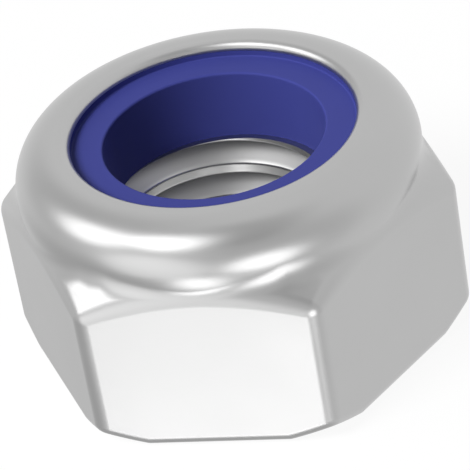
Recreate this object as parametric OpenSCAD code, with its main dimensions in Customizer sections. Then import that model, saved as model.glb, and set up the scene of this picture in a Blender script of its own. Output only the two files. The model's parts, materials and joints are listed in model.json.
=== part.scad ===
// Nylon insert lock nut, thin type, for an M8 coarse thread.
// Millimetres. The origin is the centre of the bearing face, and +Z points to the collar.
// Two flats of the hexagon face along Y, and two of its corners point along X.

/* [Hexagon] */
// Width across flats
across_flats = 13; // [12.6:0.1:14]
// Radius of the rounded edges between the flats and below them
edge_r = 0.4; // [0.2:0.05:0.6]
// Slope of the corner chamfers, measured from the bearing face
chamfer_angle = 39.5; // [25:0.5:45]
// Diameter at which the lower corner chamfer meets the bearing face
bearing_d = 13.2; // [12.8:0.1:13.8]
// Height at which the upper corner chamfer meets the collar
collar_foot_z = 6; // [5.6:0.1:6.3]

/* [Collar] */
// Height of the whole nut
nut_h = 7.92; // [7.6:0.02:8.6]
// Outer diameter of the rolled collar at its widest
collar_d = 13; // [12.6:0.1:13.2]
// Radius of the collar's rolled shoulder
shoulder_r = 1.45; // [1.2:0.05:1.9]
// Diameter of the opening inside the rolled lip
lip_d = 9.14; // [8.8:0.02:9.4]
// Radius of the lip's rounded inner edge
lip_edge_r = 0.28; // [0.1:0.02:0.3]

/* [Insert seat] */
// Height of the ledge that the insert rests on, which ends the thread
seat_z = 5.03; // [4.6:0.01:5.3]
// Diameter of the seat inside the collar
seat_d = 11.2; // [10.8:0.1:11.6]
// Radius inside the roll, over the insert's outer shoulder
seat_roll_r = 1.1; // [0.9:0.05:1.3]
// Wall of the roll over the insert, at its thinnest
roll_wall = 0.3; // [0.3:0.02:0.5]

/* [Thread] */
// Minor diameter of the thread, which is the bore of the steel body
thread_minor_d = 6.647; // [6.4:0.001:6.9]
// Major diameter of the thread
thread_major_d = 8; // [7.8:0.1:8.2]
// Diameter of the countersink at the bearing face
countersink_d = 8.4; // [8:0.1:9]
// Slope of the countersink, measured from the bearing face
countersink_angle = 45; // [30:1:60]

/* [Nylon insert] */
// Plain bore of the insert
insert_bore_d = 7.1; // [6.9:0.02:7.6]
// Depth of the insert's flat top below the top of the collar
insert_sink = 0.54; // [0.52:0.02:0.9]
// Radius of the rounded edge between the flat top and the bore
insert_edge_r = 0.08; // [0.04:0.02:0.2]
// Radius of the cove between the flat top and the rim under the lip
insert_cove_r = 0.2; // [0.05:0.05:0.25]
// Clearance between the insert and the collar around it
insert_clearance = 0.02; // [0.01:0.01:0.05]

/* [Hidden] */

$fn = 96;
steel = [0.74, 0.75, 0.76];
blue_nylon = [0.13, 0.15, 0.55];

half_flats = across_flats / 2;
corner_r = half_flats / cos(30);
// Radius of the arcs at the corners, a little over edge_r so that they cross the flats at an angle
corner_arc_ratio = 1.1;
corner_arc_r = corner_arc_ratio * edge_r;
// Distance from the axis to the centres of those arcs, which reach as far as true fillets would
corner_arc_centre_r = corner_r - edge_r / cos(30) + edge_r - corner_arc_r;
// Radius of the disc between the arcs, which meets the flats inside each arc
corner_disc_r = norm([half_flats, corner_arc_centre_r / 2]);
chamfer_slope = tan(chamfer_angle);

shoulder_centre_r = collar_d / 2 - shoulder_r;
shoulder_centre_z = nut_h - shoulder_r;
foot_drop = shoulder_centre_z - collar_foot_z;
foot_r = shoulder_centre_r + sqrt(max(0, shoulder_r * shoulder_r - foot_drop * foot_drop));

lip_r = lip_d / 2;
seat_r = seat_d / 2;
seat_top_z = nut_h - roll_wall;
roll_centre_r = seat_r - seat_roll_r;
roll_centre_z = seat_top_z - seat_roll_r;

minor_r = thread_minor_d / 2;
major_r = thread_major_d / 2;
countersink_r = max(countersink_d / 2, major_r);
countersink_h = (countersink_r - minor_r) * tan(countersink_angle);

insert_bore_r = insert_bore_d / 2;
insert_top_z = nut_h - insert_sink;

// Length added to a cut so that it runs clear of the face that it opens
past = 1;
// Radius of a revolved limit, clear of the hexagon's corners
limit_r = corner_r + past;

// Flat outline that rounds the bar's six corners
module corner_outline() {
    circle(r = corner_disc_r);
    for (k = [0:5])
        rotate(60 * k) translate([corner_arc_centre_r, 0]) circle(r = corner_arc_r);
}

// Section across two opposite flats, with the bearing edges rounded
module flats_section() {
    translate([-half_flats, edge_r]) square([across_flats, nut_h]);
    translate([edge_r - half_flats, 0]) square([across_flats - 2 * edge_r, nut_h]);
    for (side = [-1, 1])
        translate([side * (half_flats - edge_r), edge_r]) circle(r = edge_r);
}

// Hexagonal bar with rounded corners and a rounded lower edge
module hexagon_bar() {
    intersection() {
        linear_extrude(height = nut_h) corner_outline();
        intersection_for(k = [0:2])
            rotate([90, 0, 90 + 60 * k])
                linear_extrude(height = 2 * limit_r, center = true) flats_section();
    }
}

// Half section that turns off the hexagon's corners below and above
module corner_limit() {
    polygon([
        [0, 0],
        [bearing_d / 2, 0],
        [limit_r, (limit_r - bearing_d / 2) * chamfer_slope],
        [limit_r, collar_foot_z - (limit_r - foot_r) * chamfer_slope],
        [foot_r, collar_foot_z],
        [0, collar_foot_z]
    ]);
}

// Half section of the rolled collar, solid to the axis
module collar_section() {
    intersection() {
        union() {
            translate([shoulder_centre_r, shoulder_centre_z]) circle(r = shoulder_r);
            square([shoulder_centre_r, nut_h]);
        }
        translate([0, collar_foot_z - past]) square([collar_d, nut_h]);
    }
}

// Half section of the space inside the collar, grown inwards by a clearance
module seat_section(clearance = 0) {
    translate([0, seat_z]) square([seat_r - clearance, roll_centre_z - seat_z]);
    translate([0, seat_z]) square([roll_centre_r, seat_top_z - clearance - seat_z]);
    translate([roll_centre_r, roll_centre_z]) intersection() {
        circle(r = seat_roll_r - clearance);
        translate([-seat_roll_r, 0]) square(2 * seat_roll_r);
    }
}

// Half section of the opening through the lip, with its edge rounded
module lip_section() {
    translate([0, seat_z]) square([lip_r, nut_h]);
    difference() {
        translate([0, nut_h - lip_edge_r]) square([lip_r + lip_edge_r, lip_edge_r + past]);
        translate([lip_r + lip_edge_r, nut_h - lip_edge_r]) circle(r = lip_edge_r);
    }
}

// Half section of the thread's bore, with the countersink at the bearing face
module bore_section() {
    translate([0, -past]) square([minor_r, seat_z + 2 * past]);
    polygon([
        [0, -past],
        [countersink_r, -past],
        [countersink_r, 0],
        [minor_r, countersink_h],
        [0, countersink_h]
    ]);
}

// Steel body: hexagon, rolled collar, bore and insert seat in one piece
module nut_body() {
    color(steel)
        difference() {
            union() {
                intersection() {
                    hexagon_bar();
                    rotate_extrude() corner_limit();
                }
                rotate_extrude() collar_section();
            }
            rotate_extrude() seat_section();
            rotate_extrude() lip_section();
            rotate_extrude() bore_section();
        }
}

// Nylon ring: fills the seat, with a flat top sunk below the lip
module nylon_insert() {
    color(blue_nylon)
        rotate_extrude()
            difference() {
                seat_section(insert_clearance);
                translate([0, seat_z - past]) square([insert_bore_r, nut_h]);
                difference() {
                    translate([0, insert_top_z]) square([lip_r, nut_h]);
                    cove_section();
                }
                edge_section();
            }
}

// Half section of the fillet between the insert's flat top and its rim
module cove_section() {
    difference() {
        translate([lip_r - insert_cove_r, insert_top_z]) square(insert_cove_r);
        translate([lip_r - insert_cove_r, insert_top_z + insert_cove_r]) circle(r = insert_cove_r);
    }
}

// Half section cut away to round the edge between the insert's flat top and its bore
module edge_section() {
    difference() {
        translate([insert_bore_r - past, insert_top_z - insert_edge_r])
            square([insert_edge_r + past, insert_edge_r + past]);
        translate([insert_bore_r + insert_edge_r, insert_top_z - insert_edge_r]) circle(r = insert_edge_r);
    }
}

nut_body();
nylon_insert();
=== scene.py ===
import json
import math

import bmesh
import bpy
from mathutils import Matrix, Vector


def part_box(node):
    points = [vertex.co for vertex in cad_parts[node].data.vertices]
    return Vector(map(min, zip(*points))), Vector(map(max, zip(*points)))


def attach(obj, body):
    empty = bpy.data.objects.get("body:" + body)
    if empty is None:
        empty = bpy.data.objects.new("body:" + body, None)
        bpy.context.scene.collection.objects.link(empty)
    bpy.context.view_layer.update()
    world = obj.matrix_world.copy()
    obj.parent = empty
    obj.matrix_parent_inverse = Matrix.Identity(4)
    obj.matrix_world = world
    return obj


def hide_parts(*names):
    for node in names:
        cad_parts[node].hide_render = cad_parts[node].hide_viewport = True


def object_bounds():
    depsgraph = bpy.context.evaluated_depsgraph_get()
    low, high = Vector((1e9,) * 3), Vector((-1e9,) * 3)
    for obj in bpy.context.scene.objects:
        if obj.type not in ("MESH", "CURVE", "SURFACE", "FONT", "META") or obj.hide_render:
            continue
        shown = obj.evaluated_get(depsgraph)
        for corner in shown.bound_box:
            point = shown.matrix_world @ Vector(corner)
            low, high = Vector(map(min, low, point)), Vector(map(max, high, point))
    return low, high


bl_info = {
    "name": "Insert Lock Nut",
    "version": (1, 0, 0),
    "blender": (4, 5, 0),
    "location": "3D View > Sidebar > Lock Nut",
    "description": "Steel body, nylon ring, finishes and a small studio for an insert lock nut",
    "category": "Add Mesh",
}

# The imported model, and the boxes that the pieces keep to
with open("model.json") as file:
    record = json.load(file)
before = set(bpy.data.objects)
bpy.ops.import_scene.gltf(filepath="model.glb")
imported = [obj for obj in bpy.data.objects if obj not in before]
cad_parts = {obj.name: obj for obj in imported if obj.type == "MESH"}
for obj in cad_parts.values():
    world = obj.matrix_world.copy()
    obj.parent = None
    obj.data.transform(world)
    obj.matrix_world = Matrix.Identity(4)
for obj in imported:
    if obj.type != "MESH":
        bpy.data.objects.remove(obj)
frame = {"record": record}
CAD_LOW, CAD_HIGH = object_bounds()
BODY_LOW, BODY_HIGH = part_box("nut_body")
RING_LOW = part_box("nylon_insert")[0]
MOUNT_RADIUS_MM = {
    mount["name"]: mount["dims"]["r_mm"]
    for mount in frame["record"]["mounts"]
    if "r_mm" in mount["dims"]
}

MM = 0.001
SIDES = 6
SIDE_ANGLE = math.radians(360 / SIDES)
UP = Vector((0, 0, 1))
DOWN = Vector((0, 0, -1))
OUTWARD = Vector((1, 0, 0))

# Points closer than this are one corner of the mesh
WELD = 0.00005 * MM


def length(name, description, millimetres, low=0.0, high=20.0):
    """A length property, given in millimetres and kept in metres."""
    return bpy.props.FloatProperty(
        name=name,
        description=description,
        default=millimetres * MM,
        min=low * MM,
        max=high * MM,
        precision=5,
        unit="LENGTH",
    )


def angle(name, description, degrees, low=-360.0, high=360.0):
    """An angle property, given in degrees and kept in radians."""
    return bpy.props.FloatProperty(
        name=name,
        description=description,
        default=math.radians(degrees),
        min=math.radians(low),
        max=math.radians(high),
        subtype="ANGLE",
        unit="ROTATION",
    )


def share(name, description, value, high=1.0):
    """A plain number that starts at 0."""
    return bpy.props.FloatProperty(
        name=name, description=description, default=value, min=0.0, max=high, subtype="FACTOR"
    )


def colour(name, description, red, green, blue):
    """A linear colour property."""
    return bpy.props.FloatVectorProperty(
        name=name,
        description=description,
        default=(red, green, blue),
        min=0.0,
        max=1.0,
        size=3,
        subtype="COLOR",
    )


class SteelBodySizes(bpy.types.PropertyGroup):
    """Sizes of the hexagon, the rolled collar and the thread."""

    across_flats: length(
        "Across flats", "Width between two opposite flats", (BODY_HIGH.y - BODY_LOW.y) / MM
    )
    height: length("Height", "Bearing face to the top of the collar", BODY_HIGH.z / MM)
    edge_radius: length(
        "Edge radius",
        "Rounding of the upright edges of the hexagon, and of the upper ones at its corners",
        0.65,
    )
    crown_edge: length("Crown edge", "Rounding of the upper edges over the middle of a flat", 1.05)
    bearing_edge: length("Bearing edge", "Rounding of the edges around the bearing face", 0.45)
    chamfer: angle("Chamfer", "Slope of the corner chamfers from the bearing face", 38.5, 10, 60)
    bearing_radius: length("Bearing radius", "Where the lower chamfer meets the bearing face", 6.6)
    foot_height: length("Collar foot", "Height at which the upper chamfer meets the collar", 5.95)
    foot_curve: length("Foot curve", "Radius of the collar's side below its widest point", 2.2)
    foot_blend: length("Foot blend", "Soft corner at the collar's foot over a flat, each way", 0.18)
    corner_blend: length("Corner blend", "The same soft corner over a corner of the hexagon", 0.7)
    collar_radius: length("Collar radius", "Widest radius of the rolled collar", 6.5)
    shoulder_radius: length("Shoulder radius", "Rounding of the collar's shoulder", 1.45)
    lip_radius: length("Lip radius", "Radius of the opening inside the rolled lip", 4.57)
    lip_rounding: length("Lip rounding", "Rounding of the lip's inner edge", 0.28)
    seat_radius: length("Seat radius", "Radius of the seat that holds the ring", 5.6)
    seat_rounding: length("Seat rounding", "Radius inside the roll, over the ring's shoulder", 1.1)
    seat_top: length("Seat top", "Highest point of the roll's inner side", 7.62)
    thread_radius: length(
        "Thread radius", "Radius at the crests of the thread", MOUNT_RADIUS_MM["thread"]
    )
    thread_pitch: length("Pitch", "Distance from one crest of the thread to the next", 1.25)
    crest_width: length("Crest width", "Width of the crest", 0.37)
    crest_rounding: length("Crest rounding", "Rounding at both edges of the crest", 0.13)
    root_rounding: length("Root rounding", "Radius at the bottom of the groove", 0.03)
    countersink_radius: length("Countersink radius", "Radius of the countersink at the bearing face", 4.2)


class NylonRingSizes(bpy.types.PropertyGroup):
    """Sizes of the ring in the collar."""

    bore_radius: length("Bore radius", "Plain bore of the ring", MOUNT_RADIUS_MM["locking_bore"])
    top_height: length("Top height", "Height of the flat top, sunk below the lip", 7.42)
    edge_rounding: length("Edge rounding", "Rounding between the flat top and the bore", 0.08)
    cove_radius: length("Cove radius", "Cove between the flat top and the rim", 0.05)
    rim_height: length("Rim height", "Height at which the rim meets the lip", 7.625)
    clearance: length("Clearance", "Gap between the ring and the collar around it", 0.02)


class FinishChoices(bpy.types.PropertyGroup):
    """Colours and gloss of the two materials."""

    steel_colour: colour("Steel", "Colour of the zinc plating", 0.465, 0.465, 0.465)
    steel_roughness: share("Steel roughness", "Mean roughness of the zinc plating", 0.3)
    steel_thread_roughness: share("Thread roughness", "Mean roughness of the thread's flanks", 0.5)
    nylon_colour: colour("Nylon", "Colour of the ring", 0.046, 0.054, 0.245)
    nylon_roughness: share("Nylon roughness", "Mean roughness of the ring", 0.42)


class StudioChoices(bpy.types.PropertyGroup):
    """Place of the camera, and the strength of the light."""

    distance: length("Distance", "From the point looked at to the camera", 106.508, 10, 1000)
    heading: angle("Heading", "Direction of the camera round the nut, from +X", -76.437)
    elevation: angle("Elevation", "Height of the camera above the horizon", 34.239)
    roll: angle("Roll", "Turn of the camera about its own axis", -10.102)
    target_x: length("Target X", "Point looked at", 0.098, -20)
    target_y: length("Target Y", "Point looked at", 0.024, -20)
    target_z: length("Target Z", "Point looked at", 3.48)
    lens: bpy.props.FloatProperty(
        name="Lens",
        description="Focal length of the camera",
        default=253.23,
        min=20,
        max=500,
        unit="CAMERA",
    )
    sky_strength: share("Sky strength", "Level of the light from all round", 0.22, 4.0)


def unit(direction):
    """The direction at length one."""
    return direction.normalized()


def turned(direction, about_up):
    """The direction, turned about the nut's axis."""
    return Matrix.Rotation(about_up, 3, "Z") @ direction


def steps(count, start=0.0, end=1.0):
    """Evenly spaced numbers from start to end, both included."""
    return [start + (end - start) * step / count for step in range(count + 1)]


# Halvings that take a search down to the precision of the numbers
HALVINGS = 40


def bisect(low, high, past):
    """The number between low and high at which past() turns true."""
    for _ in range(HALVINGS):
        middle = (low + high) / 2
        if past(middle):
            high = middle
        else:
            low = middle
    return high


class Patchwork:
    """Grids of points with their normals, sewn into one closed mesh."""

    def __init__(self):
        self.shell = bmesh.new()
        self.normal = self.shell.loops.layers.float_vector.new("made_normal")

    def add(self, columns, closed=True):
        """Adds a grid. Each column is a list of (point, normal), and all have the same length."""
        rows = len(columns[0])
        corners = [[self.shell.verts.new(point) for point, _ in column] for column in columns]
        count = len(columns)
        for here in range(count if closed else count - 1):
            there = (here + 1) % count
            for row in range(rows - 1):
                places = ((here, row), (there, row), (there, row + 1), (here, row + 1))
                face = self.shell.faces.new([corners[column][at] for column, at in places])
                face.smooth = True
                for loop, (column, at) in zip(face.loops, places):
                    loop[self.normal] = columns[column][at][1]

    def finish(self, name):
        """Welds what coincides and returns the object."""
        bmesh.ops.remove_doubles(self.shell, verts=self.shell.verts, dist=WELD)
        bmesh.ops.dissolve_degenerate(self.shell, edges=self.shell.edges, dist=WELD)
        if any(not edge.is_manifold for edge in self.shell.edges):
            raise RuntimeError(f"{name} isn't closed")
        mesh = bpy.data.meshes.new(name)
        self.shell.to_mesh(mesh)
        self.shell.free()
        made = mesh.attributes["made_normal"]
        normals = [Vector(item.vector) for item in made.data]
        mesh.attributes.remove(made)
        mesh.normals_split_custom_set(normals)
        piece = bpy.data.objects.new(name, mesh)
        bpy.context.scene.collection.objects.link(piece)
        return piece


def arc(centre, radius, start, end, count, hollow=False):
    """Points and normals of an arc in the half plane (radius, height). A hollow arc faces its centre."""
    facing = -1 if hollow else 1
    points = []
    for bend in steps(count, start, end):
        direction = Vector((math.cos(bend), math.sin(bend)))
        points.append((centre + radius * direction, facing * direction))
    return points


def revolve(section, radial):
    """Stands a section of (point, normal) pairs up in the half plane that radial points into."""
    return [
        (radial * point.x + UP * point.y, radial * normal.x + UP * normal.y)
        for point, normal in section
    ]


# How finely the steel body is divided
FLAT_COLUMNS = 30
FAN_COLUMNS = 4
CORNER_COLUMNS = 8
FILLET_ROWS = 6
CONE_ROWS = 5
FLAT_ROWS = 6
BLEND_ROWS = 5
FOOT_ROWS = 6
SHOULDER_ROWS = 28
LIP_ROWS = 8
ROLL_ROWS = 8


def column_angles(sizes):
    """One flat's columns and its corner's, as (place, chamfer, facing) angles from the flat's middle.

    place is where the column stands, chamfer which way the lower chamfer faces there, and facing
    which way the side faces. At the kinks, where bearing face, chamfer and flat meet, the chamfer
    angle fans out in one place, and at the corner the facing does.
    """
    half_flats = sizes.across_flats / 2
    low_inset = half_flats - sizes.bearing_edge
    kink = math.acos(low_inset / chamfer_start(sizes))
    kink_place = math.atan(math.tan(kink) * low_inset / (half_flats - sizes.edge_radius))
    half = SIDE_ANGLE / 2

    def chamfer(place, facing):
        centre = bearing_edge_centre(sizes, place, facing)
        return math.atan2(centre.y, centre.x) if abs(place) > kink_place else 0.0

    flat = [(place, chamfer(place, 0.0), 0.0) for place in steps(FLAT_COLUMNS, -half, half)]
    fans = [
        (side * kink_place, side * kink * part, 0.0) for side in (-1, 1) for part in steps(FAN_COLUMNS)
    ]
    corner = [
        (half, chamfer(half, facing), facing) for facing in steps(CORNER_COLUMNS, 0.0, SIDE_ANGLE)[1:-1]
    ]
    return sorted(flat + fans) + corner


def bearing_edge_centre(sizes, place, facing):
    """Where the rounding of the bearing edge has its centre in a column, seen from above."""
    reach = (sizes.across_flats / 2 - sizes.edge_radius) / math.cos(place)
    beyond = sizes.edge_radius - sizes.bearing_edge
    return turned(OUTWARD, place) * reach + turned(OUTWARD, facing) * beyond


def chamfer_start(sizes):
    """Radius from which the centre of the bearing edge's rounding climbs with the lower chamfer."""
    slope = sizes.chamfer
    return sizes.bearing_radius - sizes.bearing_edge * (1 - math.cos(slope)) / math.sin(slope)


def rounded(centre, start, end, radius, count=FILLET_ROWS):
    """Points and normals on a ball about centre, from one normal to another."""
    normals = [start.slerp(end, part) for part in steps(count)]
    return [(centre + radius * normal, normal) for normal in normals]


def shoulder_centre(sizes):
    """Centre of the shoulder's rounding, as radius and height."""
    return Vector((sizes.collar_radius - sizes.shoulder_radius, sizes.height - sizes.shoulder_radius))


def foot_centre(sizes):
    """Centre of the curve of the collar's side below its widest point, as radius and height."""
    return Vector((sizes.collar_radius - sizes.foot_curve, sizes.height - sizes.shoulder_radius))


def crown_curve(sizes, outline, side, radius):
    """The column's way up from the flat: over the edge for 0 to 1, then up the chamfer for 1 to 2.

    outline is where the flat is, seen from above, and radius the rounding of the edge there.
    """
    slope = sizes.chamfer
    foot = foot_centre(sizes)
    foot_radius = foot.x + math.sqrt(sizes.foot_curve ** 2 - (foot.y - sizes.foot_height) ** 2)
    base = outline - side * radius
    radial = unit(base)
    high = radial * math.sin(slope) + UP * math.cos(slope)
    out = base.length - foot_radius + radius * math.sin(slope)
    base += UP * (sizes.foot_height - radius * math.cos(slope) - out * math.tan(slope))
    run = radial.dot(base) - shoulder_centre(sizes).x

    def crown(part):
        if part <= 1:
            normal = side.slerp(high, part)
            return base + radius * normal, normal
        inward = (part - 1) * run
        centre = base - radial * inward + UP * inward * math.tan(slope)
        return centre + radius * high, high

    return crown


def collar_section(sizes, bend):
    """The collar's outside, from an angle on its foot's curve or its shoulder to the lip's end."""
    over = arc(foot_centre(sizes), sizes.foot_curve, min(bend, 0.0), 0.0, FOOT_ROWS)
    shoulder = arc(
        shoulder_centre(sizes), sizes.shoulder_radius, max(bend, 0.0), math.pi / 2, SHOULDER_ROWS
    )
    over += shoulder[1:]
    lip_centre = Vector((sizes.lip_radius + sizes.lip_rounding, sizes.height - sizes.lip_rounding))
    over += arc(lip_centre, sizes.lip_rounding, math.pi / 2, math.pi, LIP_ROWS)
    over.append((lip_end(sizes), Vector((-1, 0))))
    return over


def half_plane(point):
    """The point's radius and height."""
    return Vector((point.to_2d().length, point.z))


def outer_column(sizes, place, chamfer, facing):
    """One column of the outside, from the bearing face up to the lip, and the way it points."""
    slope = sizes.chamfer
    radius = sizes.edge_radius
    inset = sizes.across_flats / 2 - radius
    reach = inset / math.cos(place)
    start = chamfer_start(sizes)
    radial = turned(OUTWARD, place)
    side = turned(OUTWARD, facing)
    low = turned(OUTWARD * math.sin(slope) + DOWN * math.cos(slope), chamfer)

    edge = sizes.bearing_edge
    centre = bearing_edge_centre(sizes, place, facing)
    bottom = unit(centre) * min(centre.length, start) + UP * edge
    lower = centre + UP * (edge + max(0.0, centre.length - start) * math.tan(slope))
    # 0 over the middle of a flat, and 1 at a corner
    towards_corner = (reach / inset - 1) / (1 / math.cos(SIDE_ANGLE / 2) - 1)
    crown_radius = sizes.crown_edge + (radius - sizes.crown_edge) * towards_corner
    crown = crown_curve(sizes, radial * reach + side * radius, side, crown_radius)
    foot = foot_centre(sizes)

    def in_collar(part):
        return (half_plane(crown(part)[0]) - foot).length < sizes.foot_curve

    soft = sizes.foot_blend + (sizes.corner_blend - sizes.foot_blend) * towards_corner
    meeting = bisect(0.0, 2.0, in_collar)
    crease = crown(meeting)[0]
    before = bisect(0.0, meeting, lambda part: (crown(part)[0] - crease).length < soft)
    top_radial = unit(Vector((crease.x, crease.y, 0)))
    at = half_plane(crease) - foot
    bend = math.atan2(at.y, at.x) + soft / sizes.foot_curve
    over = revolve(collar_section(sizes, bend), top_radial)

    column = [(top_radial * sizes.countersink_radius, DOWN)]
    column += rounded(bottom, DOWN, low, edge)
    column += [(bottom.lerp(lower, part) + edge * low, low) for part in steps(CONE_ROWS)[1:]]
    column += rounded(lower, low, side, edge)[1:]
    lowest = lower + edge * side
    highest = crown(0.0)[0]
    column += [(lowest.lerp(highest, part), side) for part in steps(FLAT_ROWS)[1:]]
    way_up = steps(FILLET_ROWS)[1:] + steps(CONE_ROWS, 1.0, 2.0)[1:]
    column += [crown(min(part, before)) for part in way_up]
    column += blend(crown(before), crease, over[0])
    column += over[1:]
    return column, top_radial


def blend(start, corner, end):
    """A soft hollow corner between two (point, normal) pairs."""
    pairs = []
    for part in steps(BLEND_ROWS)[1:]:
        first = start[0].lerp(corner, part)
        second = corner.lerp(end[0], part)
        pairs.append((first.lerp(second, part), unit(start[1].lerp(end[1], part))))
    return pairs


# Length of the lip's straight end below its rounding
LIP_STRAIGHT = 0.005 * MM
# Thickness of the lip at that end
LIP_WALL = 0.18 * MM


def lip_end(sizes):
    """Lower end of the lip, where it meets the ring's rim."""
    return Vector((sizes.lip_radius, sizes.height - sizes.lip_rounding - LIP_STRAIGHT))


def roll_section(sizes, gap=0.0):
    """The inner side of the roll, from the lip's end down to the wall of the seat, facing the ring."""
    centre = Vector((sizes.seat_radius - sizes.seat_rounding, sizes.seat_top - sizes.seat_rounding))
    first = math.acos((sizes.lip_radius + LIP_WALL - centre.x) / sizes.seat_rounding)
    return arc(centre, sizes.seat_rounding - gap, first, 0.0, ROLL_ROWS, hollow=True)


# Where the middle of a crest lies: its height, and the direction from the axis, in the nut's frame
CREST_HEIGHT = 3.9 * MM
CREST_HEADING = math.radians(102)
# How far the flanks' normals lean from the radial direction: the flank that faces up, and the one
# that faces down
UPPER_LEAN = math.radians(48)
LOWER_LEAN = math.radians(60)
# How finely one side of a groove is divided
CREST_EDGE_ROWS = 4
FLANK_ROWS = 9
ROOT_ROWS = 4


def thread_pitch_section(sizes):
    """One pitch of the thread, from the middle of a crest up to the next, as flank_section gives it."""
    pitch = sizes.thread_pitch
    slopes = 1 / math.tan(UPPER_LEAN) + 1 / math.tan(LOWER_LEAN)
    depth = (pitch - sizes.crest_width) / slopes
    facing_up = flank_section(sizes, UPPER_LEAN, depth)
    facing_down = flank_section(sizes, LOWER_LEAN, depth)
    mirrored = [
        (pitch - height, radius, Vector((-normal.x, normal.y)))
        for height, radius, normal in reversed(facing_down)
    ]
    return facing_up + mirrored[1:]


def flank_section(sizes, lean, depth):
    """One side of a groove, from the middle of the crest out to the groove's bottom.

    Each point is a height, a radius, and a normal in those two directions.
    """
    crest = sizes.crest_width / 2
    edge = sizes.crest_rounding
    root = sizes.root_rounding
    edge_centre = Vector((crest - edge * math.tan(lean / 2), sizes.thread_radius + edge))
    root_centre = Vector((crest + depth / math.tan(lean), sizes.thread_radius + depth - 2 * root))
    side = [(0.0, sizes.thread_radius, Vector((0, -1)))]
    for turn in steps(CREST_EDGE_ROWS, 0.0, lean):
        normal = Vector((math.sin(turn), -math.cos(turn)))
        point = edge_centre + edge * normal
        side.append((point.x, point.y, normal))
    bottom = []
    for turn in steps(ROOT_ROWS, lean, 0.0):
        normal = Vector((math.sin(turn), -math.cos(turn)))
        point = root_centre - root * normal
        bottom.append((point.x, point.y, normal))
    inner = Vector(side[-1][:2])
    outer = Vector(bottom[0][:2])
    for part in steps(FLANK_ROWS)[1:-1]:
        point = inner.lerp(outer, part)
        side.append((point.x, point.y, bottom[0][2]))
    return side + bottom


def crest_height(sizes, heading):
    """Height of the middle of a crest in the direction of a heading."""
    return CREST_HEIGHT + sizes.thread_pitch * (heading - CREST_HEADING) / math.tau


def thread_surface(sizes, section, heading, height):
    """Point and normal of the threaded bore at a height, in the direction of a heading."""
    pitch = sizes.thread_pitch
    along = (height - crest_height(sizes, heading)) % pitch
    for lower, upper in zip(section, section[1:]):
        if lower[0] <= along <= upper[0]:
            break
    part = (along - lower[0]) / max(upper[0] - lower[0], WELD)
    radius = lower[1] + (upper[1] - lower[1]) * part
    normal = lower[2].lerp(upper[2], part)
    radial = turned(OUTWARD, heading)
    # The countersink slopes at 45 degrees, so it narrows by as much as it rises
    countersink = sizes.countersink_radius - height
    if countersink > radius:
        return radial * countersink + UP * height, unit(DOWN - radial)
    around = turned(Vector((0, 1, 0)), heading)
    twist = normal.x * pitch / (math.tau * radius)
    return radial * radius + UP * height, unit(UP * normal.x + radial * normal.y - around * twist)


def thread_columns(sizes, headings, ledge):
    """The threaded bore from the ledge down, with rows that climb along the thread."""
    section = thread_pitch_section(sizes)
    pitch = sizes.thread_pitch
    crest = crest_height(sizes, 0.0)
    highest = ledge - pitch * min(headings) / math.tau
    lowest = -pitch * max(headings) / math.tau
    first = math.floor((lowest - crest) / pitch)
    last = math.ceil((highest - crest) / pitch)
    rows = [
        crest + pitch * number + height
        for number in range(last - 1, first - 1, -1)
        for height, _, _ in reversed(section[:-1])
    ]
    columns = []
    for heading in headings:
        rise = pitch * heading / math.tau
        heights = [min(max(row + rise, 0.0), ledge) for row in rows]
        columns.append([thread_surface(sizes, section, heading, height) for height in heights])
    return columns


def steel_body_mesh(sizes):
    """The steel body as one closed mesh."""
    outside = []
    radials = []
    for number in range(SIDES):
        spin = Matrix.Rotation(SIDE_ANGLE * number - math.pi / 2, 3, "Z")
        for place, chamfer, facing in column_angles(sizes):
            column, radial = outer_column(sizes, place, chamfer, facing)
            outside.append([(spin @ point, spin @ normal) for point, normal in column])
            radials.append(spin @ radial)
    headings = [math.atan2(radial.y, radial.x) for radial in radials]
    for at in range(1, len(headings)):
        while headings[at] < headings[at - 1] - math.pi:
            headings[at] += math.tau
    ledge = RING_LOW.z
    patches = Patchwork()
    patches.add(outside)
    lip = lip_end(sizes)
    roll = roll_section(sizes)
    under_lip = [(lip, Vector((0, -1))), (roll[0][0], Vector((0, -1)))]
    wall_foot = Vector((sizes.seat_radius, ledge))
    wall = [(roll[-1][0], Vector((-1, 0))), (wall_foot, Vector((-1, 0)))]
    for section in (under_lip, roll, wall):
        patches.add([revolve(section, turned(OUTWARD, heading)) for heading in headings])
    around = headings + [headings[0] + math.tau]
    thread = thread_columns(sizes, around, ledge)
    outer_edge = [turned(OUTWARD, heading) * wall_foot.x + UP * ledge for heading in around]
    ledge_columns = [[(edge, UP), (column[0][0], UP)] for edge, column in zip(outer_edge, thread)]
    patches.add(ledge_columns, closed=False)
    patches.add(thread, closed=False)
    return patches.finish("steel_body")


# How finely the nylon ring is divided
RING_COLUMNS = 180
BORE_ROWS = 10
TOP_ROWS = 4
EDGE_ROWS = 5
COVE_ROWS = 6


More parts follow.
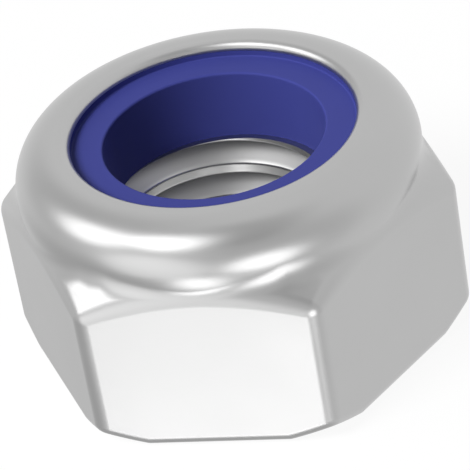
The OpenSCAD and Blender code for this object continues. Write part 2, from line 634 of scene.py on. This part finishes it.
def nylon_ring_mesh(ring, body):
    """The nylon ring as one closed mesh."""
    foot = RING_LOW.z
    edge = ring.edge_rounding
    edge_centre = Vector((ring.bore_radius + edge, ring.top_height - edge))
    cove_centre = Vector((body.lip_radius - ring.cove_radius, ring.top_height + ring.cove_radius))
    inward = Vector((-1, 0))
    heights = steps(BORE_ROWS, foot, edge_centre.y)
    bore = [(Vector((ring.bore_radius, height)), inward) for height in heights]
    rounding = arc(edge_centre, edge, math.pi, math.pi / 2, EDGE_ROWS)
    reaches = steps(TOP_ROWS, edge_centre.x, cove_centre.x)
    top = [(Vector((reach, ring.top_height)), Vector((0, 1))) for reach in reaches]
    cove = arc(cove_centre, ring.cove_radius, -math.pi / 2, 0.0, COVE_ROWS, hollow=True)
    rim = (Vector((body.lip_radius, ring.rim_height)), inward)
    inside = bore + rounding[1:] + top[1:] + cove[1:] + [rim]
    shoulder = [(point, -normal) for point, normal in roll_section(body, ring.clearance)]
    under_lip = [(rim[0], Vector((0, 1))), (shoulder[0][0], Vector((0, 1)))]
    wall_foot = Vector((shoulder[-1][0].x, foot))
    wall = [(shoulder[-1][0], Vector((1, 0))), (wall_foot, Vector((1, 0)))]
    base = [(wall_foot, Vector((0, -1))), (bore[0][0], Vector((0, -1)))]
    patches = Patchwork()
    for section in (base, inside, under_lip, shoulder, wall):
        columns = [
            revolve(section, turned(OUTWARD, math.tau * number / RING_COLUMNS))
            for number in range(RING_COLUMNS)
        ]
        columns.reverse()
        patches.add(columns)
    return patches.finish("nylon_ring")


def node(tree, kind, **inputs):
    """Adds a shader node and sets its named inputs."""
    made = tree.nodes.new(kind)
    for name, value in inputs.items():
        made.inputs[name.replace("_", " ")].default_value = value
    return made


def calculate(tree, operation, *values):
    """Adds a math node on sockets and numbers, and returns its result."""
    made = tree.nodes.new("ShaderNodeMath")
    made.operation = operation
    for socket, value in zip(made.inputs, values):
        if isinstance(value, bpy.types.NodeSocket):
            tree.links.new(value, socket)
        else:
            socket.default_value = value
    return made.outputs[0]


def mixed(tree, factor, first, second):
    """Adds a mix of two shader nodes, and returns it."""
    mix = tree.nodes.new("ShaderNodeMixShader")
    for socket, source in zip(mix.inputs, (factor, first.outputs[0], second.outputs[0])):
        tree.links.new(source, socket)
    return mix


GRAIN_GROUP = "Fine Grain"


def fine_grain():
    """Node group: soft mottling and a fine surface grain, each from 0 to 1."""
    if GRAIN_GROUP in bpy.data.node_groups:
        return bpy.data.node_groups[GRAIN_GROUP]
    group = bpy.data.node_groups.new(GRAIN_GROUP, "ShaderNodeTree")
    face = group.interface
    for name, value in (("Mottle Scale", 400.0), ("Grain Scale", 9000.0)):
        socket = face.new_socket(name, in_out="INPUT", socket_type="NodeSocketFloat")
        socket.default_value = value
    for name in ("Mottle", "Grain"):
        face.new_socket(name, in_out="OUTPUT", socket_type="NodeSocketFloat")
    entry = group.nodes.new("NodeGroupInput")
    leave = group.nodes.new("NodeGroupOutput")
    place = group.nodes.new("ShaderNodeTexCoord")
    for name, detail in (("Mottle", 3.0), ("Grain", 2.0)):
        noise = node(group, "ShaderNodeTexNoise", Detail=detail, Roughness=0.55)
        group.links.new(place.outputs["Object"], noise.inputs["Vector"])
        group.links.new(entry.outputs[f"{name} Scale"], noise.inputs["Scale"])
        group.links.new(noise.outputs["Fac"], leave.inputs[name])
    return group


# Range that the mottling mostly keeps to
MOTTLE_LOW = 0.25
MOTTLE_HIGH = 0.75


def finish_material(
    name, tone, tone_spread, roughness, roughness_spread, grain_height, mottle_scale, grain_scale
):
    """A principled material whose tone, roughness and fine relief vary with the shared grain."""
    material = bpy.data.materials.new(name)
    material.use_nodes = True
    tree = material.node_tree
    shader = tree.nodes["Principled BSDF"]
    grain = tree.nodes.new("ShaderNodeGroup")
    grain.node_tree = fine_grain()
    grain.inputs["Mottle Scale"].default_value = mottle_scale
    grain.inputs["Grain Scale"].default_value = grain_scale

    mix = tree.nodes.new("ShaderNodeMix")
    mix.data_type = "RGBA"
    for socket, level in ((mix.inputs["A"], 1 - tone_spread), (mix.inputs["B"], 1 + tone_spread)):
        socket.default_value = (*(min(part * level, 1.0) for part in tone), 1.0)
    tree.links.new(grain.outputs["Mottle"], mix.inputs["Factor"])
    tree.links.new(mix.outputs["Result"], shader.inputs["Base Color"])

    spread = node(tree, "ShaderNodeMapRange")
    spread.inputs["From Min"].default_value = MOTTLE_LOW
    spread.inputs["From Max"].default_value = MOTTLE_HIGH
    spread.inputs["To Min"].default_value = roughness - roughness_spread
    spread.inputs["To Max"].default_value = roughness + roughness_spread
    tree.links.new(grain.outputs["Mottle"], spread.inputs["Value"])
    tree.links.new(spread.outputs["Result"], shader.inputs["Roughness"])

    bump = node(tree, "ShaderNodeBump", Strength=1.0, Distance=grain_height)
    tree.links.new(grain.outputs["Grain"], bump.inputs["Height"])
    tree.links.new(bump.outputs["Normal"], shader.inputs["Normal"])
    return material, shader


# Radius around the axis that holds the whole thread and little else
THREAD_REACH = 4.05 * MM
# How far outside the crests the flanks' duller finish starts, and where it is full
DULL_START = 0.03 * MM
DULL_FULL = 0.12 * MM
# How far below the ledge that finish ends
DULL_BELOW_LEDGE = 0.02 * MM


def zinc_material(finish):
    """Bright zinc plating: satin metal with a faint mottling, duller on the thread's flanks."""
    material, shader = finish_material(
        "zinc_plating",
        tone=finish.steel_colour,
        tone_spread=0.03,
        roughness=finish.steel_roughness,
        roughness_spread=0.02,
        grain_height=0.0004 * MM,
        mottle_scale=350.0,
        grain_scale=12000.0,
    )
    shader.inputs["Metallic"].default_value = 1.0
    tree = material.node_tree
    duller = on_flanks(tree, finish.steel_thread_roughness - finish.steel_roughness)
    plain = shader.inputs["Roughness"].links[0].from_socket
    tree.links.new(calculate(tree, "ADD", duller, plain), shader.inputs["Roughness"])
    return material


def on_flanks(tree, amount):
    """Value that reaches an amount on the thread's flanks, and is 0 everywhere else."""
    place = tree.nodes.new("ShaderNodeTexCoord")
    flatten = tree.nodes.new("ShaderNodeVectorMath")
    flatten.operation = "MULTIPLY"
    flatten.inputs[1].default_value = (1.0, 1.0, 0.0)
    tree.links.new(place.outputs["Object"], flatten.inputs[0])
    radius = tree.nodes.new("ShaderNodeVectorMath")
    radius.operation = "LENGTH"
    tree.links.new(flatten.outputs["Vector"], radius.inputs[0])
    duller = node(tree, "ShaderNodeMapRange")
    crest_radius = MOUNT_RADIUS_MM["thread"] * MM
    duller.inputs["From Min"].default_value = crest_radius + DULL_START
    duller.inputs["From Max"].default_value = crest_radius + DULL_FULL
    duller.inputs["To Min"].default_value = 0.0
    duller.inputs["To Max"].default_value = amount
    tree.links.new(radius.outputs["Value"], duller.inputs["Value"])
    height = tree.nodes.new("ShaderNodeSeparateXYZ")
    tree.links.new(place.outputs["Object"], height.inputs[0])
    in_bore = calculate(tree, "LESS_THAN", radius.outputs["Value"], THREAD_REACH)
    under_ledge = calculate(tree, "LESS_THAN", height.outputs["Z"], RING_LOW.z - DULL_BELOW_LEDGE)
    kept = calculate(tree, "MULTIPLY", duller.outputs["Result"], in_bore)
    return calculate(tree, "MULTIPLY", kept, under_ledge)


def nylon_material(finish):
    """Moulded blue nylon: semi-gloss with a fine skin."""
    material, shader = finish_material(
        "moulded_nylon",
        tone=finish.nylon_colour,
        tone_spread=0.05,
        roughness=finish.nylon_roughness,
        roughness_spread=0.04,
        grain_height=0.001 * MM,
        mottle_scale=500.0,
        grain_scale=8000.0,
    )
    shader.inputs["Specular IOR Level"].default_value = 0.05
    return material


def dress(piece, material, stands_for):
    """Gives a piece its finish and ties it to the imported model."""
    piece.data.materials.append(material)
    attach(piece, "root")
    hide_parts(stands_for)


class LOCKNUT_OT_steel_body(bpy.types.Operator):
    """Build the steel body with its rounded edges, rolled collar and thread"""

    bl_idname = "lock_nut.steel_body"
    bl_label = "Steel Body"

    def execute(self, context):
        piece = steel_body_mesh(context.scene.lock_nut_body)
        dress(piece, zinc_material(context.scene.lock_nut_finish), "nut_body")
        return {"FINISHED"}


class LOCKNUT_OT_nylon_ring(bpy.types.Operator):
    """Build the nylon ring that sits in the collar"""

    bl_idname = "lock_nut.nylon_ring"
    bl_label = "Nylon Ring"

    def execute(self, context):
        piece = nylon_ring_mesh(context.scene.lock_nut_ring, context.scene.lock_nut_body)
        dress(piece, nylon_material(context.scene.lock_nut_finish), "nylon_insert")
        return {"FINISHED"}


# Size of the floor, from its middle to its edge
FLOOR_REACH = 1000 * MM
FLOOR_COLOUR = (0.9, 0.9, 0.9, 1.0)
# Keeps the floor clear of the bearing face, which would otherwise lie in it
FLOOR_GAP = 0.01 * MM
# Share of the floor that shows as plain white, the rest taking light and shadow
FLOOR_WHITE = 0.92


def seen_directly(tree):
    """Factor that is 1 for what the camera, a mirror or glass sees, and 0 for light that falls."""
    path = tree.nodes.new("ShaderNodeLightPath")
    seen = calculate(tree, "MAXIMUM", path.outputs["Is Camera Ray"], path.outputs["Is Glossy Ray"])
    return calculate(tree, "MAXIMUM", seen, path.outputs["Is Transmission Ray"])


# Soft round lamps far off, some of them under the floor, which doesn't hide them from the nut.
# Each has a name, a heading and an elevation in degrees, the angle from its middle to its edge,
# and its brightness beside the white all round.
LAMPS = (
    ("high_left_lamp", -124.1, 52.2, 17.2, 2.34),
    ("left_lamp", -165.6, 33.6, 18.3, 1.99),
    ("low_left_lamp", -119.9, -7.2, 27.7, 0.70),
    ("front_right_lamp", -62.8, -13.6, 18.4, 2.01),
    ("under_front_lamp", -100.1, -43.9, 11.2, 2.45),
)
LAMP_DISTANCE = 1000 * MM

# The lamp that only matt surfaces see, with the same numbers as the others
KEY_LAMP = ("key_lamp", -132.0, 48.0, 12.0, 19.0)

# Soft grey patches in the white all round, seen in the metal.
# Each has a heading and an elevation in degrees, the angle from its middle to its edge, and its depth.
GREY_PATCHES = (
    (-75.0, 64.1, 35.4, 0.40),
    (-158.0, -57.8, 65.8, 0.36),
    (174.9, 36.7, 50.0, 0.30),
    (-57.6, 1.3, 64.1, 0.26),
)
# Share of a patch, from its middle out, that has its full depth
PATCH_MIDDLE = 0.35
PATCH_GROUP = "Soft Patch"


def soft_patch():
    """Node group: a round patch of sky, 1 in its middle and 0 from its edge outwards."""
    if PATCH_GROUP in bpy.data.node_groups:
        return bpy.data.node_groups[PATCH_GROUP]
    group = bpy.data.node_groups.new(PATCH_GROUP, "ShaderNodeTree")
    face = group.interface
    face.new_socket("Towards", in_out="INPUT", socket_type="NodeSocketVector")
    face.new_socket("Edge", in_out="INPUT", socket_type="NodeSocketFloat")
    face.new_socket("Middle", in_out="INPUT", socket_type="NodeSocketFloat")
    face.new_socket("Mask", in_out="OUTPUT", socket_type="NodeSocketFloat")
    entry = group.nodes.new("NodeGroupInput")
    leave = group.nodes.new("NodeGroupOutput")
    place = group.nodes.new("ShaderNodeTexCoord")
    nearness = group.nodes.new("ShaderNodeVectorMath")
    nearness.operation = "DOT_PRODUCT"
    group.links.new(place.outputs["Generated"], nearness.inputs[0])
    group.links.new(entry.outputs["Towards"], nearness.inputs[1])
    soften = group.nodes.new("ShaderNodeMapRange")
    soften.interpolation_type = "SMOOTHSTEP"
    group.links.new(nearness.outputs["Value"], soften.inputs["Value"])
    group.links.new(entry.outputs["Edge"], soften.inputs["From Min"])
    group.links.new(entry.outputs["Middle"], soften.inputs["From Max"])
    group.links.new(soften.outputs["Result"], leave.inputs["Mask"])
    return group


def patched_white(tree):
    """Level of the white all round with its grey patches, plain white for the camera itself."""
    level = 1.0
    for heading, elevation, edge, depth in GREY_PATCHES:
        patch = tree.nodes.new("ShaderNodeGroup")
        patch.node_tree = soft_patch()
        patch.inputs["Towards"].default_value = towards(math.radians(heading), math.radians(elevation))
        patch.inputs["Edge"].default_value = math.cos(math.radians(edge))
        patch.inputs["Middle"].default_value = math.cos(math.radians(edge * PATCH_MIDDLE))
        level = calculate(tree, "MULTIPLY_ADD", patch.outputs["Mask"], -depth, level)
    path = tree.nodes.new("ShaderNodeLightPath")
    return calculate(tree, "MAXIMUM", path.outputs["Is Camera Ray"], level)


def make_world(strength):
    """A sky that lights softly, and that shows as white."""
    world = bpy.data.worlds.new("studio_sky")
    world.use_nodes = True
    world.cycles.sampling_method = "NONE"
    tree = world.node_tree
    tree.nodes.clear()
    light = node(tree, "ShaderNodeBackground", Color=(1, 1, 1, 1), Strength=strength)
    white = node(tree, "ShaderNodeBackground", Color=(1, 1, 1, 1), Strength=1.0)
    tree.links.new(patched_white(tree), white.inputs["Strength"])
    leave = tree.nodes.new("ShaderNodeOutputWorld")
    mix = mixed(tree, seen_directly(tree), light, white)
    tree.links.new(mix.outputs[0], leave.inputs["Surface"])
    bpy.context.scene.world = world


def floor_material():
    """Plain white to look at, with a little of the nut's shadow, and clear when seen from below."""
    material = bpy.data.materials.new("pale_floor")
    material.use_nodes = True
    tree = material.node_tree
    tree.nodes.clear()
    matt = node(tree, "ShaderNodeBsdfDiffuse", Color=FLOOR_COLOUR)
    white = node(tree, "ShaderNodeEmission", Color=(1, 1, 1, 1), Strength=1.0)
    clear = node(tree, "ShaderNodeBsdfTransparent", Color=(1, 1, 1, 1))
    side = tree.nodes.new("ShaderNodeNewGeometry")
    leave = tree.nodes.new("ShaderNodeOutputMaterial")
    amount = calculate(tree, "MULTIPLY", seen_directly(tree), FLOOR_WHITE)
    above = mixed(tree, amount, matt, white)
    both = mixed(tree, side.outputs["Backfacing"], above, clear)
    tree.links.new(both.outputs[0], leave.inputs["Surface"])
    return material


def make_floor():
    """A wide pale floor just under the nut."""
    mesh = bpy.data.meshes.new("floor")
    level = CAD_LOW.z - FLOOR_GAP
    square = ((-1, -1), (1, -1), (1, 1), (-1, 1))
    corners = [(across * FLOOR_REACH, along * FLOOR_REACH, level) for across, along in square]
    mesh.from_pydata(corners, [], [(0, 1, 2, 3)])
    mesh.materials.append(floor_material())
    floor = bpy.data.objects.new("floor", mesh)
    floor.visible_glossy = False
    floor.visible_shadow = False
    bpy.context.scene.collection.objects.link(floor)


def towards(heading, elevation):
    """Unit vector towards a heading from +X and an elevation."""
    level = math.cos(elevation)
    return Vector((math.cos(heading) * level, math.sin(heading) * level, math.sin(elevation)))


def make_lamp(name, heading, elevation, spread, brightness, aim):
    """A soft round lamp that points at the nut, and that the camera doesn't see."""
    data = bpy.data.lights.new(name, "AREA")
    radius = LAMP_DISTANCE * math.tan(math.radians(spread))
    data.shape = "DISK"
    data.size = 2 * radius
    data.energy = brightness * math.pi * (math.pi * radius ** 2)
    lamp = bpy.data.objects.new(name, data)
    away = towards(math.radians(heading), math.radians(elevation))
    lamp.location = aim + away * LAMP_DISTANCE
    lamp.rotation_mode = "QUATERNION"
    lamp.rotation_quaternion = away.to_track_quat("Z", "Y")
    lamp.visible_camera = False
    bpy.context.scene.collection.objects.link(lamp)
    return lamp


# Width of the camera's sensor in millimetres
SENSOR_WIDTH = 36
# The nearest and the farthest that the camera sees
NEAREST = 1 * MM
FARTHEST = 10000 * MM


def make_camera(studio):
    """The camera, at the photograph's angle."""
    data = bpy.data.cameras.new("camera")
    data.lens = studio.lens
    data.sensor_width = SENSOR_WIDTH
    data.clip_start = NEAREST
    data.clip_end = FARTHEST
    camera = bpy.data.objects.new("camera", data)
    target = Vector((studio.target_x, studio.target_y, studio.target_z))
    back = towards(studio.heading, studio.elevation)
    camera.location = target + back * studio.distance
    camera.rotation_mode = "QUATERNION"
    level = back.to_track_quat("Z", "Y")
    camera.rotation_quaternion = Matrix.Rotation(studio.roll, 3, back).to_quaternion() @ level
    bpy.context.scene.collection.objects.link(camera)
    bpy.context.scene.camera = camera


class LOCKNUT_OT_studio(bpy.types.Operator):
    """Build the floor, the light and the camera"""

    bl_idname = "lock_nut.studio"
    bl_label = "Studio"

    def execute(self, context):
        studio = context.scene.lock_nut_studio
        make_floor()
        make_world(studio.sky_strength)
        middle = (CAD_LOW + CAD_HIGH) / 2
        for lamp in LAMPS:
            make_lamp(*lamp, middle)
        make_lamp(*KEY_LAMP, middle).visible_glossy = False
        make_camera(studio)
        context.scene.view_settings.view_transform = "Standard"
        return {"FINISHED"}


class LOCKNUT_PT_panel(bpy.types.Panel):
    """Sizes, finishes and the steps that build the nut"""

    bl_label = "Lock Nut"
    bl_idname = "LOCKNUT_PT_panel"
    bl_space_type = "VIEW_3D"
    bl_region_type = "UI"
    bl_category = "Lock Nut"

    def draw(self, context):
        for title, settings, step in STEPS:
            box = self.layout.box()
            box.label(text=title)
            if settings:
                group = getattr(context.scene, settings)
                for name in group.bl_rna.properties.keys():
                    if name not in ("rna_type", "name"):
                        box.prop(group, name)
            if step:
                box.operator(step)


# What the panel lists, in the order in which it is built
STEPS = (
    ("Finishes", "lock_nut_finish", None),
    ("Steel body", "lock_nut_body", "lock_nut.steel_body"),
    ("Nylon ring", "lock_nut_ring", "lock_nut.nylon_ring"),
    ("Studio", "lock_nut_studio", "lock_nut.studio"),
)
SETTINGS = {
    "lock_nut_body": SteelBodySizes,
    "lock_nut_ring": NylonRingSizes,
    "lock_nut_finish": FinishChoices,
    "lock_nut_studio": StudioChoices,
}
CLASSES = (
    *SETTINGS.values(),
    LOCKNUT_OT_steel_body,
    LOCKNUT_OT_nylon_ring,
    LOCKNUT_OT_studio,
    LOCKNUT_PT_panel,
)


def register():
    """Registers the classes and hangs the settings on the scene."""
    for made in CLASSES:
        bpy.utils.register_class(made)
    for name, group in SETTINGS.items():
        setattr(bpy.types.Scene, name, bpy.props.PointerProperty(type=group))


def unregister():
    """Takes everything off again."""
    for name in SETTINGS:
        delattr(bpy.types.Scene, name)
    for made in reversed(CLASSES):
        bpy.utils.unregister_class(made)


def main():
    """Builds the nut and its studio."""
    register()
    bpy.ops.lock_nut.steel_body()
    bpy.ops.lock_nut.nylon_ring()
    bpy.ops.lock_nut.studio()


if __name__ == "__main__":
    main()
